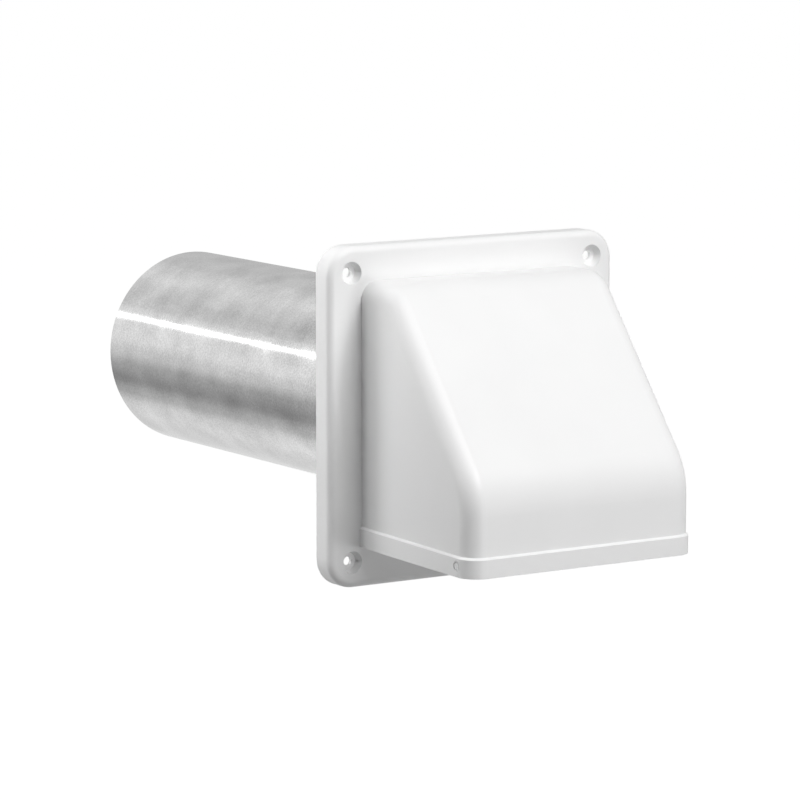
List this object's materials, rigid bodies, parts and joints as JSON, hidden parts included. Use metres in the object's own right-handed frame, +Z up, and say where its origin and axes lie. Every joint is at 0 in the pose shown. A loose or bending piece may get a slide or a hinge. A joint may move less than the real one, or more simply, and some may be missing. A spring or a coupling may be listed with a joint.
{
  "type": "hooded wall vent",
  "caption": "White moulded wall vent hood with a square screw flange, a sloped hood open at the bottom, a hinged backdraft flap, a mouth guard and an aluminium tail pipe.",
  "frame": {"origin": "on the tail pipe's axis in the wall plane, which is the back edge of the flange's skirt", "axes": "+Y into the wall along the tail pipe, +Z up, +X to the right seen from outdoors"},
  "size_m": [0.165, 0.3663, 0.165],
  "materials": {
    "hood": "satin white moulded plastic",
    "tail_pipe": "mill aluminium sheet with fine marks round the pipe",
    "damper_flap": "satin white moulded plastic",
    "guard": "satin white moulded plastic"
  },
  "bodies": {
    "vent": {"hood": "hood", "tail_pipe": "tail_pipe"},
    "damper": {"damper_flap": "damper_flap"},
    "mouth_guard": {"guard": "guard"}
  },
  "joints": [
    {"name": "damper_swing", "type": "hinge", "parent": "vent", "child": "damper", "pos_m": [0, -0.0246, 0.0435], "axis": [-1, 0, 0], "range_deg": [0, 45]},
    {"name": "guard_swing", "type": "hinge", "parent": "vent", "child": "mouth_guard", "pos_m": [0, -0.0955, -0.059], "axis": [-1, 0, 0], "range_deg": [0, 90]}
  ]
}
